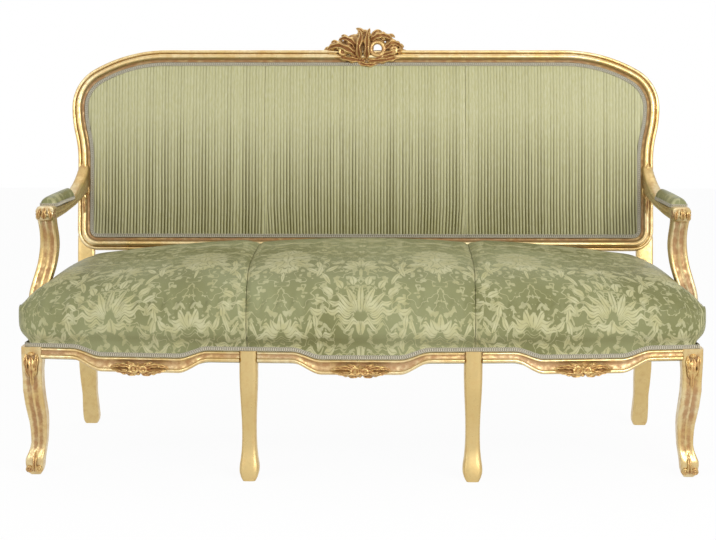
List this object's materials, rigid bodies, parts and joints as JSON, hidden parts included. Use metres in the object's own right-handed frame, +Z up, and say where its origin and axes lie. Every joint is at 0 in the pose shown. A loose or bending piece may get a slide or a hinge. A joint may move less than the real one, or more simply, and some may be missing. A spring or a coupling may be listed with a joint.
{
  "type": "three-seat sofa",
  "caption": "Three-seat show-wood sofa with a bowed front, cabriole legs, open padded arms, a raked upholstered back and a carved crest.",
  "frame": {"origin": "on the floor, under the centre of the sofa's outer box", "axes": "+Z up, +X to the right of someone who stands in front of the sofa, and the front towards -Y"},
  "size_m": [1.7242, 0.8085, 1.1267],
  "materials": {
    "gilt_wood": "water-gilded beech, worn and burnished",
    "carved_gilt_wood": "carved and bronzed beech",
    "bare_beech": "planed",
    "seat_damask": "damask",
    "back_silk": "silk taffeta",
    "plain_cloth": "plain weave",
    "gimp_braid": "woven braid",
    "stuffing": "stuffing in calico",
    "hessian": "coarse weave",
    "webbing": "jute webbing"
  },
  "bodies": {
    "root": {"arm_cover_left": "seat_damask", "arm_cover_right": "seat_damask", "arm_gimp_left": "gimp_braid", "arm_gimp_right": "gimp_braid", "arm_left": "gilt_wood", "arm_right": "gilt_wood", "arm_stuffing_left": "stuffing", "arm_stuffing_right": "stuffing", "arm_support_left": "gilt_wood", "arm_support_right": "gilt_wood", "back_bottom_rail": "gilt_wood", "back_cover_centre": "back_silk", "back_cover_left": "back_silk", "back_cover_right": "back_silk", "back_gimp": "gimp_braid", "back_hessian": "hessian", "back_muntin_left": "bare_beech", "back_muntin_right": "bare_beech", "back_seat_rail": "bare_beech", "back_stuffing": "stuffing", "back_top_rail": "gilt_wood", "back_webbing": "webbing", "corner_blocks": "bare_beech", "crest": "carved_gilt_wood", "dust_cover": "hessian", "front_leg_left": "gilt_wood", "front_leg_right": "gilt_wood", "front_rail_centre": "gilt_wood", "front_rail_left": "gilt_wood", "front_rail_right": "gilt_wood", "middle_leg_left": "gilt_wood", "middle_leg_right": "gilt_wood", "outside_back_cover": "plain_cloth", "outside_back_gimp": "gimp_braid", "rear_post_left": "gilt_wood", "rear_post_right": "gilt_wood", "seat_cover_centre": "seat_damask", "seat_cover_left": "seat_damask", "seat_cover_right": "seat_damask", "seat_gimp": "gimp_braid", "seat_hessian": "hessian", "seat_stretcher_left": "bare_beech", "seat_stretcher_right": "bare_beech", "seat_stuffing": "stuffing", "seat_webbing": "webbing", "side_rail_left": "gilt_wood", "side_rail_right": "gilt_wood"}
  },
  "joints": []
}
